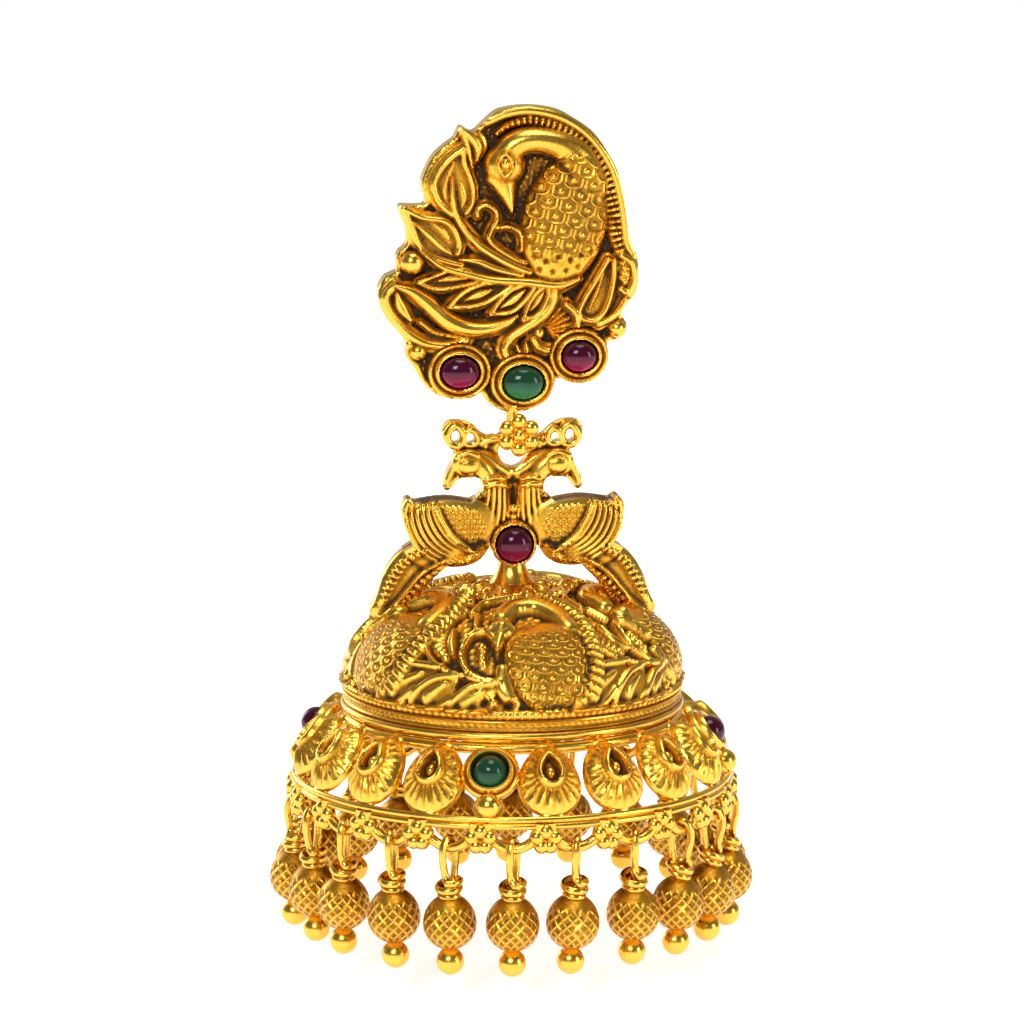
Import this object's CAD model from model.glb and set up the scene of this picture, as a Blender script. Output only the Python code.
import math

import bmesh
import bpy
import numpy as np
from mathutils import Matrix, Vector


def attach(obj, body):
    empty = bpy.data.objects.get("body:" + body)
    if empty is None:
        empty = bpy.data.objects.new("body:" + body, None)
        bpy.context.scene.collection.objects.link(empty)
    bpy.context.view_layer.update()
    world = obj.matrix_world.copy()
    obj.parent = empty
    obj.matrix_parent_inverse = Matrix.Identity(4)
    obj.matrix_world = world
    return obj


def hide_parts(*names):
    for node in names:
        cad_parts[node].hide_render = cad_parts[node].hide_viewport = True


# Jhumka earring: a cast peacock stud, a twin-peacock link and a bell with a pierced skirt and a
# fringe of bead drops. Sizes below are in millimetres in the frame of the parts, and meshes are
# written in metres.

MM = 0.001
AXIS_Y = -1.5             # the plane in which the drop hangs
COLLAR_Z = -40.5          # lower edge of the dome's collar

# ---- camera -------------------------------------------------------------------------------------
VIEW_TURN = math.radians(-6.0)
VIEW_DISTANCE = 330.0
EYE_Z = 32.0
AIM_Z = -23.9


def add_object(name, data):
    made = bpy.data.objects.new(name, data)
    bpy.context.collection.objects.link(made)
    return made


def put_and_aim(thing, place, aim):
    """Put a camera or lamp at a place, facing another."""
    thing.location = place * MM
    thing.rotation_euler = (aim - place).to_track_quat("-Z", "Y").to_euler()


def place_camera():
    away = VIEW_DISTANCE * Vector((math.sin(VIEW_TURN), -math.cos(VIEW_TURN)))
    data = bpy.data.cameras.new("view")
    data.sensor_width = 36.0
    data.lens = 140.0
    data.clip_start = 0.01
    data.clip_end = 20.0
    camera = add_object("view", data)
    put_and_aim(camera, Vector((away.x, AXIS_Y + away.y, EYE_Z)), Vector((0.0, AXIS_Y, AIM_Z)))
    bpy.context.scene.camera = camera


place_camera()
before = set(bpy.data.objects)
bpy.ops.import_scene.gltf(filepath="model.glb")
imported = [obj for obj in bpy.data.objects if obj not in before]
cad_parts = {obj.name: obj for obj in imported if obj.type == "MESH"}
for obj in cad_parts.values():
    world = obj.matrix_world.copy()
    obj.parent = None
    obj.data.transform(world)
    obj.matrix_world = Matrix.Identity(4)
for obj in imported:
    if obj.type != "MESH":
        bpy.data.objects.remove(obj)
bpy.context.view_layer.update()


# ---- shapes from points and faces ---------------------------------------------------------------
def mesh_from(points, *face_sets):
    """Mesh from points and sets of faces, each a table of point numbers."""
    mesh = bpy.data.meshes.new("form")
    faces = [face for table in face_sets for face in table.tolist()]
    mesh.from_pydata((np.asarray(points, float) * MM).tolist(), [], faces)
    return mesh


def lattice(rows, cols, wrap=False):
    """Quads of a grid of points; wrap joins the last column to the first."""
    r = np.arange(rows - 1)[:, None]
    c = np.arange(cols if wrap else cols - 1)[None, :]
    a = r * cols + c
    b = r * cols + (c + 1) % cols
    return np.stack([a, b, b + cols, a + cols], -1).reshape(-1, 4)


def closed_rings(points, cols, poles, flip=False):
    """Mesh of rings of points, one after another, that closes on a pole at each end."""
    count = len(points)
    first = np.arange(cols)
    last = count - cols + first
    fans = []
    for pole, ring, other_way in ((count, first, not flip), (count + 1, last, flip)):
        onward, middle = np.roll(ring, -1), np.full(cols, pole)
        fans.append(np.stack([middle, onward, ring] if other_way else [middle, ring, onward], -1))
    return mesh_from(np.concatenate([points, poles]), lattice(count // cols, cols, True), *fans)


def curve_through(points, step, closed=False):
    """Smooth line through points, as evenly close points; extra columns, such as widths, follow."""
    p = np.asarray(points, float)
    if len(p) == 2:
        p = np.array([p[0], (p[0] + p[1]) / 2, p[1]])
    ends = (p[-1:], p[:2]) if closed else (2 * p[:1] - p[1:2], 2 * p[-1:] - p[-2:-1])
    p = np.concatenate([ends[0], p, ends[1]])
    out = []
    for a, b, c, d in zip(p, p[1:], p[2:], p[3:]):
        many = max(2, int(np.linalg.norm((c - b)[:2]) / step))
        t = (np.arange(many) / many)[:, None]
        bend = 2 * a - 5 * b + 4 * c - d
        out.append(0.5 * (2 * b + (c - a) * t + bend * t ** 2 + (3 * b - a - 3 * c + d) * t ** 3))
    return np.concatenate(out if closed else out + [p[-2:-1]])


ASLANT = [0.31, 0.17, 0.93]          # a direction in which no wire starts


def tube(path, radius, sides, closed=False):
    """Round wire along a path."""
    p = np.asarray(path, float)
    ahead = np.roll(p, -1, 0) - np.roll(p, 1, 0)
    if not closed:
        ahead[0] = p[1] - p[0]
        ahead[-1] = p[-1] - p[-2]
    ahead /= np.linalg.norm(ahead, axis=1)[:, None]
    side = np.cross(ahead[0], ASLANT)
    turn = (np.arange(sides) * 2 * math.pi / sides)[:, None]
    rings = []
    for middle, forward in zip(p, ahead):
        side = side - forward * side.dot(forward)
        side /= np.linalg.norm(side)
        ring = np.cos(turn) * side + np.sin(turn) * np.cross(forward, side)
        rings.append(middle + ring * radius)
    points = np.concatenate(rings)
    if closed:
        return mesh_from(points, lattice(len(p) + 1, sides, True) % len(points))
    return closed_rings(points, sides, [p[0], p[-1]])


def ring_path(radius, count, centre=(0, 0, 0), start=0.0, end=360.0, upright=False):
    """Points round an arc in the XY plane, or in the XZ plane when upright."""
    t = np.radians(np.linspace(start, end, count, endpoint=end - start < 360))
    x, y, none = radius * np.cos(t), radius * np.sin(t), 0 * t
    return np.stack([x, none, y] if upright else [x, y, none], -1) + np.array(centre, float)


def turned(profile, cols, centre=(0, 0, 0)):
    """Surface turned about Z from (radius, height) rows that begin and end on the axis."""
    profile = np.asarray(profile, float)
    t = np.arange(cols) * 2 * math.pi / cols
    r, z = profile[1:-1, 0][:, None], profile[1:-1, 1][:, None]
    rings = np.stack([r * np.cos(t), r * np.sin(t), z + 0 * t], -1).reshape(-1, 3)
    poles = np.array([[0, 0, profile[0, 1]], [0, 0, profile[-1, 1]]])
    shift = np.array(centre, float)
    return closed_rings(rings + shift, cols, poles + shift)


def small_ball(centre, r, cols=14, flat=1.0):
    """Ball; flat squashes it along Y, towards the front."""
    t = np.linspace(0, math.pi, cols // 2 + 1)
    mesh = turned(np.stack([r * np.sin(t), r * np.cos(t)], -1), cols)
    mesh.transform(Matrix.Translation(Vector(centre) * MM) @ Matrix.Diagonal((1, flat, 1, 1)))
    return mesh


# ---- chased relief ------------------------------------------------------------------------------
def share(value):
    """Kept between none, 0, and all, 1."""
    return np.clip(value, 0, 1)


def ridge(q):
    """Half-round section: 1 on its middle, where q is 0, and 0 from its edge, where q is 1."""
    return np.sqrt(share(1 - q ** 2))


def tilted(x, y, turn):
    """Coordinates along axes that lean by turn degrees."""
    c, s = math.cos(math.radians(turn)), math.sin(math.radians(turn))
    return x * c + y * s, -x * s + y * c


class Relief:
    """Heights of a chased surface over points (u, v). The higher form wins. squeeze says how much
    shorter u is on the surface than in the plan."""

    def __init__(self, u, v, ground=0.0, squeeze=None):
        self.u, self.v = u.ravel(), v.ravel()
        self.squeeze = np.ones(self.u.shape) if squeeze is None else squeeze.ravel()
        self.height = np.full(self.u.shape, float(ground))

    def near(self, low, high, reach):
        """Numbers of the points in a box and within reach of it."""
        wide = reach / np.maximum(self.squeeze, 0.15)
        inside = (self.u > low[0] - wide) & (self.u < high[0] + wide)
        return np.flatnonzero(inside & (self.v > low[1] - reach) & (self.v < high[1] + reach))

    def round_about(self, cu, cv, reach):
        """Numbers of the points near a centre, and where they lie from it."""
        where = self.near((cu, cv), (cu, cv), reach)
        return where, (self.u[where] - cu) * self.squeeze[where], self.v[where] - cv

    def raise_to(self, where, height):
        self.height[where] = np.maximum(self.height[where], height)

    def from_line(self, line, where):
        """Distance to a line, width there and length along it, for the points named by where."""
        k = self.squeeze[where]
        u, v = self.u[where] * k, self.v[where]
        best = np.full(len(where), 1e9)
        width, along = np.zeros(len(where)), np.zeros(len(where))
        run = 0.0
        for (u0, v0, w0), (u1, v1, w1) in zip(line[:-1], line[1:]):
            a, b = (u1 - u0) * k, v1 - v0
            t = share(((u - u0 * k) * a + (v - v0) * b) / np.maximum(a * a + b * b, 1e-9))
            d = np.hypot(u - u0 * k - t * a, v - v0 - t * b)
            nearer = d < best
            best = np.where(nearer, d, best)
            width = np.where(nearer, w0 + t * (w1 - w0), width)
            length = math.hypot(u1 - u0, v1 - v0)
            along = np.where(nearer, run + t * length, along)
            run += length
        return best, width, along

    def stroke(self, points, width, height, base=0.0, closed=False, rib=0.0, rib_depth=0.4, add=False):
        """Rounded ridge along a line. width is its half width, one number or one for each point; rib is
        the spacing of grooves across it; add lays it on what is there."""
        widths = np.broadcast_to(np.asarray(width, float), (len(points),))
        line = curve_through(np.column_stack([np.asarray(points, float), widths]), 0.2, closed)
        if closed:
            line = np.concatenate([line, line[:1]])
        where = self.near(line[:, :2].min(0), line[:, :2].max(0), float(widths.max()))
        d, w, along = self.from_line(line, where)
        inside = d < w
        rise = height * (1 - (d[inside] / w[inside]) ** 2) ** 0.5
        if rib:
            rise *= 1 - rib_depth * (0.5 - 0.5 * np.cos(2 * math.pi * along[inside] / rib)) ** 2
        if add:
            self.height[where[inside]] += rise
        else:
            self.raise_to(where[inside], base + rise)

    def from_loop(self, loop):
        """Numbers of the points in the box of a closed line, and their distances out of the line."""
        where = self.near(loop.min(0), loop.max(0), 0.0)
        return where, distance_to_loop(self.u[where], self.v[where], loop)

    def fill(self, loop, height):
        """Raise the inside of a closed line to a height."""
        where, out = self.from_loop(loop)
        self.raise_to(where[out < 0.02], height)

    def add_inside(self, loop, texture):
        """Lay a texture on the inside of a closed line."""
        where, out = self.from_loop(loop)
        self.height[where] += share(-out / 0.25) * texture(self.u[where], self.v[where])

    def sink(self, cu, cv, r, depth):
        """Small round-bottomed pit."""
        where, du, dv = self.round_about(cu, cv, r)
        self.height[where] -= depth * share(1 - (np.hypot(du, dv) / r) ** 2)

    def dome(self, cu, cv, a, b, turn, height, base=0.0, texture=None, blunt=0.5):
        """Rounded oval with half sizes a and b; texture adds height from its own coordinates."""
        where, du, dv = self.round_about(cu, cv, max(a, b))
        x, y = tilted(du, dv, turn)
        q2 = (x / a) ** 2 + (y / b) ** 2
        inside = q2 < 1
        rise = height * (1 - q2[inside]) ** blunt
        if texture is not None:
            rise = rise + texture(x[inside], y[inside]) * share((1 - q2[inside]) * 5)
        self.raise_to(where[inside], base + rise)

    def cup(self, cu, cv, a, b, steps):
        """Stepped round a stone: steps are (distance out from the stone's edge, height)."""
        out, high = np.array(steps, float).T
        where, du, dv = self.round_about(cu, cv, max(a, b) + out[-1])
        q = np.hypot(du / a, dv / b)
        edge = (q - 1) * np.hypot(du, dv) / np.maximum(q, 1e-6)
        inside = edge < out[-1]
        self.height[where[inside]] = np.interp(edge[inside], out, high)


def grain(u, v, size, depth, seed=3):
    """Fine lumps, as of a punched ground: ten waves in random directions."""
    rng = np.random.default_rng(seed)
    total = np.zeros(u.shape)
    for _ in range(10):
        turn = rng.uniform(0, 2 * math.pi)
        wave = rng.uniform(0.7, 1.4) * size
        shift = rng.uniform(0, 2 * math.pi)
        total += np.sin((u * math.cos(turn) + v * math.sin(turn)) * 2 * math.pi / wave + shift)
    return depth * np.clip(total / 3, -1, 1)


def distance_to_loop(x, z, loop):
    """Signed distance to a closed line; negative inside."""
    d2 = np.full(x.shape, 1e9)
    inside = np.zeros(x.shape, bool)
    for (x0, z0), (x1, z1) in zip(loop, np.roll(loop, -1, 0)):
        ex, ez = x1 - x0, z1 - z0
        t = share(((x - x0) * ex + (z - z0) * ez) / (ex * ex + ez * ez + 1e-12))
        d2 = np.minimum(d2, (x - x0 - t * ex) ** 2 + (z - z0 - t * ez) ** 2)
        if z0 != z1:
            inside ^= ((z0 > z) != (z1 > z)) & (x < x0 + (z - z0) * ex / ez)
    return np.where(inside, -1, 1) * np.sqrt(d2)


def casting(low, high, pitch, edge, front, back, grooves):
    """Flat casting in the XZ plane. edge gives the signed distance to its outline, front and back its
    depths towards -Y and +Y, and grooves the steps out of its side wall."""
    xs = np.arange(low[0], high[0] + pitch, pitch)
    zs = np.arange(low[1], high[1] + pitch, pitch)
    x, z = (grid.ravel() for grid in np.meshgrid(xs, zs))
    quads = lattice(len(zs), len(xs))
    quads = quads[(edge(x, z) < 0.3 * pitch)[quads].all(1)]
    used, flat = np.unique(quads, return_inverse=True)
    quads = flat.reshape(-1, 4)
    px, pz = x[used], z[used]
    # the rim is made of the sides that belong to one quad only
    sides = np.concatenate([quads[:, [k, (k + 1) % 4]] for k in range(4)])
    _, index, count = np.unique(np.sort(sides, 1), axis=0, return_inverse=True, return_counts=True)
    rim = sides[count[index.ravel()] == 1]
    rim_points = np.unique(rim)
    for _ in range(3):
        out_x, out_z = slope_of(px[rim_points], pz[rim_points], edge)
        past = edge(px[rim_points], pz[rim_points])
        px[rim_points] -= past * out_x
        pz[rim_points] -= past * out_z
    out_x, out_z = slope_of(px[rim_points], pz[rim_points], edge)
    y_front, y_back = -front(px, pz), back(px, pz)
    place = np.full(len(px), -1)
    place[rim_points] = np.arange(len(rim_points))
    one, other = place[rim[:, 0]], place[rim[:, 1]]
    points, faces = [np.column_stack([px, y_front, pz])], [quads]
    upper, total = rim_points, len(px)
    for k, out in enumerate(grooves, 1):
        level = k / (len(grooves) + 1)
        ring_y = y_front[rim_points] * (1 - level) + y_back[rim_points] * level
        points.append(np.column_stack([px[rim_points] + out * out_x, ring_y, pz[rim_points] + out * out_z]))
        lower = total + np.arange(len(rim_points))
        faces.append(np.stack([upper[other], upper[one], lower[one], lower[other]], -1))
        upper, total = lower, total + len(rim_points)
    lower = total + rim_points
    faces.append(np.stack([upper[other], upper[one], lower[one], lower[other]], -1))
    points.append(np.column_stack([px, y_back, pz]))
    return mesh_from(np.concatenate(points), *faces, quads[:, ::-1] + total)


def slope_of(x, z, edge):
    """Direction straight out of an outline."""
    step = 0.02
    gx = edge(x + step, z) - edge(x - step, z)
    gz = edge(x, z + step) - edge(x, z - step)
    size = np.maximum(np.hypot(gx, gz), 1e-9)
    return gx / size, gz / size


# ---- finishing a piece --------------------------------------------------------------------------
def join_forms(name, forms):
    """One object from several meshes, with its faces turned outwards."""
    build = bmesh.new()
    for form in forms:
        build.from_mesh(form)
        bpy.data.meshes.remove(form)
    bmesh.ops.recalc_face_normals(build, faces=build.faces)
    mesh = bpy.data.meshes.new(name)
    build.to_mesh(mesh)
    build.free()
    return add_object(name, mesh)


def points_and_normals(mesh):
    n = len(mesh.vertices)
    co, normal = np.zeros(n * 3, np.float32), np.zeros(n * 3, np.float32)
    mesh.vertices.foreach_get("co", co)
    mesh.vertex_normals.foreach_get("vector", normal)
    return co.reshape(-1, 3).astype(float) / MM, normal.reshape(-1, 3)


def store(mesh, name, values, at="POINT"):
    """Keep a number or a vector for each point, or each corner of a face, for the finish to read."""
    vectors = values.ndim == 2
    layer = mesh.attributes.new(name, "FLOAT_VECTOR" if vectors else "FLOAT", at)
    layer.data.foreach_set("vector" if vectors else "value", values.astype(np.float32).ravel())


def scale_place(x, y, half, turn, across, up):
    """Where points lie on a scaled oval: counts of scales across and up it, and how much they show."""
    a, b = tilted(x, y, turn)
    q2 = (a / half[0]) ** 2 + (b / half[1]) ** 2
    return np.stack([a / across, b / up + 40, share((1 - q2) * 6)], -1)


def mark_wear(mesh, rounds, depth, ground=None):
    """Store how deep each point lies in a hollow (above 0) or stands proud on an edge (below 0);
    ground adds to it from each point and its normal."""
    co, normal = points_and_normals(mesh)
    n = len(co)
    ends = np.zeros(len(mesh.edges) * 2, np.int32)
    mesh.edges.foreach_get("vertices", ends)
    a, b = ends.reshape(-1, 2).T
    degree = np.maximum(np.bincount(a, minlength=n) + np.bincount(b, minlength=n), 1)

    def half_way_to_neighbours(values):
        around = (np.bincount(a, values[b], n) + np.bincount(b, values[a], n)) / degree
        return 0.5 * values + 0.5 * around

    soft = co.T.copy()
    for _ in range(rounds):
        soft = np.array([half_way_to_neighbours(row) for row in soft])
    hollow = np.clip(((soft.T - co) * normal).sum(1) / depth, -1, 1)
    for _ in range(2):
        hollow = half_way_to_neighbours(hollow)
    if ground:
        hollow += ground(co, normal)
    store(mesh, "hollow", hollow)


def smooth_and_wear(mesh, sharp, wear, ground):
    """Shade a mesh smooth but for its sharp edges, and mark its wear."""
    mesh.shade_smooth()
    mesh.set_sharp_from_angle(angle=math.radians(sharp))
    if wear:
        mark_wear(mesh, *wear, ground)


def finish(piece, material, body, nodes, sharp=45.0, wear=None, ground=None, scales=None):
    """Shade a piece, mark its wear, and hand it to its body in place of its CAD nodes."""
    mesh = piece.data
    smooth_and_wear(mesh, sharp, wear, ground)
    if scales:
        store(mesh, "chasing", scales(*points_and_normals(mesh)))
    mesh.materials.clear()
    mesh.materials.append(material)
    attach(piece, body)
    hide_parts(*nodes)


# ---- finishes -----------------------------------------------------------------------------------
def linear(code):
    """sRGB hex colour as linear RGBA."""
    parts = [int(code[i:i + 2], 16) / 255 for i in (1, 3, 5)]
    return tuple(c / 12.92 if c <= 0.04045 else ((c + 0.055) / 1.055) ** 2.4 for c in parts) + (1.0,)


def add_node(tree, kind, inputs=None, **settings):
    """Add a node with its settings; an input is a value or the socket that feeds it."""
    made = tree.nodes.new(kind)
    for key, value in settings.items():
        setattr(made, key, value)
    for key, value in (inputs or {}).items():
        if isinstance(value, bpy.types.NodeSocket):
            tree.links.new(value, made.inputs[key])
        else:
            made.inputs[key].default_value = value
    return made


def adder(tree):
    """Shorthand that adds one maths node."""
    def maths(operation, *values):
        return add_node(tree, "ShaderNodeMath", dict(enumerate(values)), operation=operation).outputs[0]
    return maths


def spread(tree, value, low, high, to_low, to_high):
    """Map the range from low to high onto another, within its ends."""
    return add_node(tree, "ShaderNodeMapRange", {
        "Value": value, "From Min": low, "From Max": high, "To Min": to_low, "To Max": to_high}).outputs[0]


def stored(tree, name):
    return add_node(tree, "ShaderNodeAttribute", attribute_name=name).outputs


def noise(tree, size, detail, roughness=0.5):
    """Cloudy pattern whose lumps are about size across."""
    place = add_node(tree, "ShaderNodeTexCoord").outputs["Object"]
    return add_node(tree, "ShaderNodeTexNoise", {
        "Vector": place, "Scale": 1 / (size * MM), "Detail": detail, "Roughness": roughness}).outputs["Fac"]


def tones(tree, value, *stops):
    """Colour from a value through (position, colour) stops, the first and the last given first."""
    made = add_node(tree, "ShaderNodeValToRGB", {"Fac": value})
    elements = made.color_ramp.elements
    for element, (position, code) in zip(elements, stops):
        element.position, element.color = position, linear(code)
    for position, code in stops[2:]:
        elements.new(position).color = linear(code)
    return made.outputs["Color"]


def new_tree(holder):
    holder.use_nodes = True
    holder.node_tree.nodes.clear()
    return holder.node_tree


def shaded(tree, inputs):
    shader = add_node(tree, "ShaderNodeBsdfPrincipled", inputs)
    add_node(tree, "ShaderNodeOutputMaterial", {"Surface": shader.outputs[0]})


def to_nearest(maths, value):
    return maths("SUBTRACT", value, maths("ROUND", value))


def falling(maths, value):
    """One less a value."""
    return maths("SUBTRACT", 1.0, value)


def squares(maths, a, b):
    return maths("ADD", maths("MULTIPLY", a, a), maths("MULTIPLY", b, b))


def scale_rows(maths, x, y):
    """Staggered rows of horseshoe scales, each with a small bump in it; 0 low to 1 high."""
    row = maths("FLOOR", y)
    up = maths("SUBTRACT", y, row)
    side = to_nearest(maths, maths("MULTIPLY_ADD", maths("FLOORED_MODULO", row, 2.0), 0.5, x))
    down = maths("DIVIDE", maths("MINIMUM", maths("SUBTRACT", up, 0.55), 0.0), 0.55)
    tongue = maths("SQRT", squares(maths, maths("MULTIPLY", side, 2.0), down))
    shoe = falling(maths, maths("DIVIDE", maths("ABSOLUTE", maths("SUBTRACT", tongue, 0.8)), 0.24))
    upper = maths("DIVIDE", maths("SUBTRACT", up, 0.66), 0.26)
    bump = falling(maths, squares(maths, maths("DIVIDE", side, 0.2), upper))
    return maths("MAXIMUM", maths("MAXIMUM", shoe, bump), 0.0)


def diamond_net(maths, x, y):
    """Raised lines that cross in diamonds; 0 low to 1 high."""
    lines = [falling(maths, maths("DIVIDE", maths("ABSOLUTE", to_nearest(maths, value)), 0.3))
             for value in (maths("ADD", x, y), maths("SUBTRACT", x, y))]
    return maths("MAXIMUM", maths("MAXIMUM", *lines), 0.0)


def antique_gold_brass(name, rubbed, gold, deep, patina, rough_low, rough_high, pattern, relief):
    """Cast brass with matt antique gold plating: bright and smooth where it is rubbed, brown patina in
    the hollows and between the chased scales or net, and a faintly pitted cast skin."""
    material = bpy.data.materials.new(name)
    tree = new_tree(material)
    maths = adder(tree)
    part = add_node(tree, "ShaderNodeSeparateXYZ", {0: stored(tree, "chasing")["Vector"]}).outputs
    high = maths("MULTIPLY", pattern(maths, part[0], part[1]), part[2])
    skin = noise(tree, 0.22, 3.0, 0.65)
    stain = spread(tree, noise(tree, 2.2, 3.0, 0.6), 0.3, 0.7, -0.1, 0.14)
    speck = spread(tree, skin, 0.3, 0.7, -0.13, 0.13)
    between = maths("SUBTRACT", maths("MULTIPLY", part[2], 0.42), maths("MULTIPLY", high, 0.7))
    worn = maths("ADD", stored(tree, "hollow")["Fac"], stain)
    level = maths("ADD", worn, maths("ADD", speck, between))
    bump = add_node(tree, "ShaderNodeBump", {"Strength": 0.35, "Distance": 0.03 * MM, "Height": skin})
    raised = add_node(tree, "ShaderNodeBump", {
        "Strength": 0.9, "Distance": relief * MM, "Height": high, "Normal": bump.outputs["Normal"]})
    stops = (0.0, rubbed), (1.0, patina), (0.28, gold), (0.52, deep)
    shaded(tree, {
        "Base Color": tones(tree, maths("ADD", level, 0.3), *stops),
        "Metallic": spread(tree, level, 0.3, 0.75, 1.0, 0.4),
        "Roughness": spread(tree, level, -0.2, 0.9, rough_low, rough_high),
        "Normal": raised.outputs["Normal"]})
    return material


def foiled_glass(name, body, glow):
    """Moulded glass cabochon with foil behind it: deep body colour, brighter where light gathers low
    in the dome, and a soft gloss."""
    material = bpy.data.materials.new(name)
    tree = new_tree(material)
    mixed = adder(tree)("MULTIPLY_ADD", noise(tree, 1.6, 2.0), 0.3, stored(tree, "low_in_stone")["Fac"])
    shaded(tree, {
        "Base Color": tones(tree, mixed, (0.3, body), (1.0, glow)), "Roughness": 0.12, "IOR": 1.5,
        "Specular IOR Level": 0.3, "Transmission Weight": 0.1})
    return material


GOLD = antique_gold_brass("antique gold plated brass", "#F0BF4E", "#EAAE3A", "#BF8622", "#402D18",
                          0.25, 0.85, scale_rows, 0.16)
GOLD_BEAD = antique_gold_brass("antique gold bead", "#EFBE50", "#E8AC38", "#BB8220", "#432F1A",
                               0.26, 0.75, diamond_net, 0.12)
RUBY = foiled_glass("ruby red glass", "#3E0620", "#A8144F")
EMERALD = foiled_glass("emerald green glass", "#174029", "#2E8750")


# ---- the stud -----------------------------------------------------------------------------------
STUD_THICK = 2.4
STUD_OUTLINE = [
    (1.23, 10.2), (3.59, 9.9), (5.13, 9.1), (6.67, 8.01), (7.79, 6.42), (8.72, 4.62), (9.23, 2.43),
    (9.54, 0.14), (9.85, -1.35), (10.36, -2.35), (10.46, -4.04), (10.26, -5.34), (9.44, -6.33),
    (8.95, -7.03), (9.5, -7.9), (9.45, -8.8), (8.7, -9.3), (7.9, -9.5), (7.9, -11.11), (6.97, -12.41),
    (5.64, -12.91), (4.62, -12.81), (3.59, -12.51), (2.87, -14.1), (1.54, -14.9), (0.21, -15.3),
    (-1.03, -15.1), (-2.26, -14.3), (-2.67, -13.6), (-3.59, -14.0), (-5.64, -14.0), (-6.87, -13.41),
    (-7.79, -12.31), (-8.3, -11.31), (-8.95, -10.5), (-8.95, -9.3), (-9.7, -8.3), (-10.6, -7.2),
    (-11.18, -5.84), (-11.18, -4.84), (-10.6, -3.8), (-9.7, -3.4), (-9.7, -2.4), (-9.5, -1.75),
    (-8.9, -1.2), (-8.9, 0.2), (-9.45, 1.5), (-9.35, 2.1), (-8.4, 2.05), (-7.28, 2.23), (-7.59, 3.63),
    (-7.38, 4.62), (-6.67, 6.02), (-5.64, 7.01), (-4.82, 7.61), (-4.45, 8.45), (-4.1, 8.5), (-3.3, 8.1),
    (-2.05, 9.2), (-1.03, 9.9),
]

# stones: CAD node, centre x and z, half width and half height
STUD_STONES = [
    ("stud_ruby_left", -4.5, -11.8, 1.6, 1.35),
    ("stud_emerald", 0.8, -12.75, 1.7, 1.4),
    ("stud_ruby_right", 5.5, -10.6, 1.45, 1.3),
]
STONE_Y = -STUD_THICK - 0.55

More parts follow.
